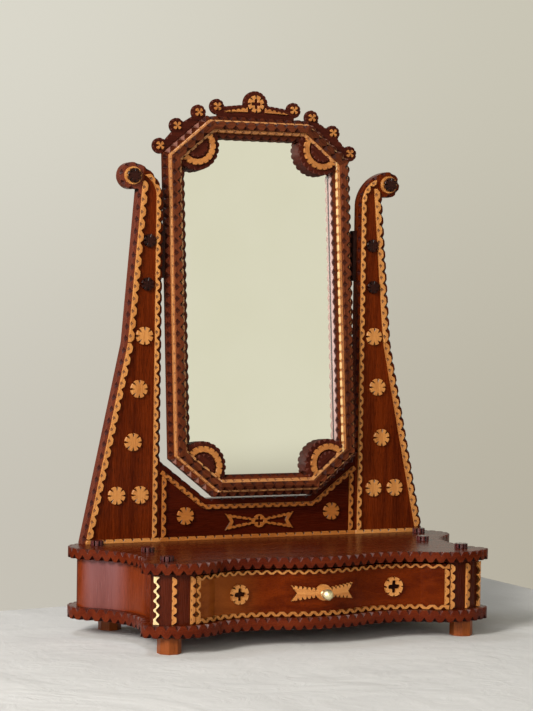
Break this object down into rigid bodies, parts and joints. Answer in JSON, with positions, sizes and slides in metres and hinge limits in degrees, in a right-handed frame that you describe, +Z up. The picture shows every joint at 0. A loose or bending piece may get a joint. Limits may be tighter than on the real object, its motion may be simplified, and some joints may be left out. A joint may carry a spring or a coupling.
{
  "type": "dressing table mirror with drawer",
  "caption": "Free-standing dressing mirror: octagonal tilting frame between shaped posts on a serpentine box with one drawer, notched edges and pale applied strips and rosettes.",
  "frame": {"origin": "on the floor, under the middle of the object's overall width and depth", "axes": "+Z up, +X to the right seen from the front, the front with the drawer faces -Y"},
  "size_m": [0.513, 0.2449, 0.6635],
  "materials": {
    "mahogany": "gloss varnish",
    "dark_mahogany": "gloss varnish",
    "satinwood": "satin varnish",
    "foot_wood": "satin varnish",
    "pine": "plain",
    "looking_glass": "silvered",
    "brass": "polished",
    "steel": "plain"
  },
  "bodies": {
    "stand": {"apron": "mahogany", "apron_bowtie": "satinwood", "apron_rosettes": "satinwood", "apron_strips": "satinwood", "bottom_board": "mahogany", "case_back": "pine", "corner_block_left": "mahogany", "corner_block_right": "mahogany", "dark_rosettes": "dark_mahogany", "drawer_guide_left": "pine", "drawer_guide_right": "pine", "drawer_stops": "pine", "foot_back_left": "foot_wood", "foot_back_right": "foot_wood", "foot_front_left": "foot_wood", "foot_front_right": "foot_wood", "pilaster_strips_left": "satinwood", "pilaster_strips_right": "satinwood", "pivot_pins": "steel", "pivot_plates": "dark_mahogany", "post_left": "mahogany", "post_right": "mahogany", "post_rosettes_left": "satinwood", "post_rosettes_right": "satinwood", "post_strips_left": "satinwood", "post_strips_right": "satinwood", "scroll_bosses": "dark_mahogany", "scroll_rings": "satinwood", "side_panel_left": "mahogany", "side_panel_right": "mahogany", "top_board": "mahogany", "top_board_bosses": "dark_mahogany"},
    "mirror": {"back_frame": "pine", "backboard": "pine", "backboard_screws": "steel", "bracket_rings": "satinwood", "corner_brackets": "dark_mahogany", "crest_centre": "dark_mahogany", "crest_corner_left": "dark_mahogany", "crest_corner_right": "dark_mahogany", "crest_crosses": "satinwood", "crest_rosette": "satinwood", "crest_wedges": "satinwood", "frame_base_layer": "mahogany", "frame_middle_layer": "satinwood", "frame_top_layer": "dark_mahogany", "glass": "looking_glass"},
    "drawer": {"drawer_back": "pine", "drawer_bottom": "pine", "drawer_bowtie": "satinwood", "drawer_front": "mahogany", "drawer_ribbons": "satinwood", "drawer_rosettes": "satinwood", "drawer_side_left": "pine", "drawer_side_right": "pine", "knob": "brass", "knob_screw": "steel"}
  },
  "joints": [
    {"name": "mirror_tilt", "type": "hinge", "parent": "stand", "child": "mirror", "pos_m": [0, 0.093, 0.459], "axis": [1, 0, 0], "range_deg": [-70, 80]},
    {"name": "drawer_slide", "type": "slide", "parent": "stand", "child": "drawer", "axis": [0, -1, 0], "range_m": [0, 0.11]}
  ]
}
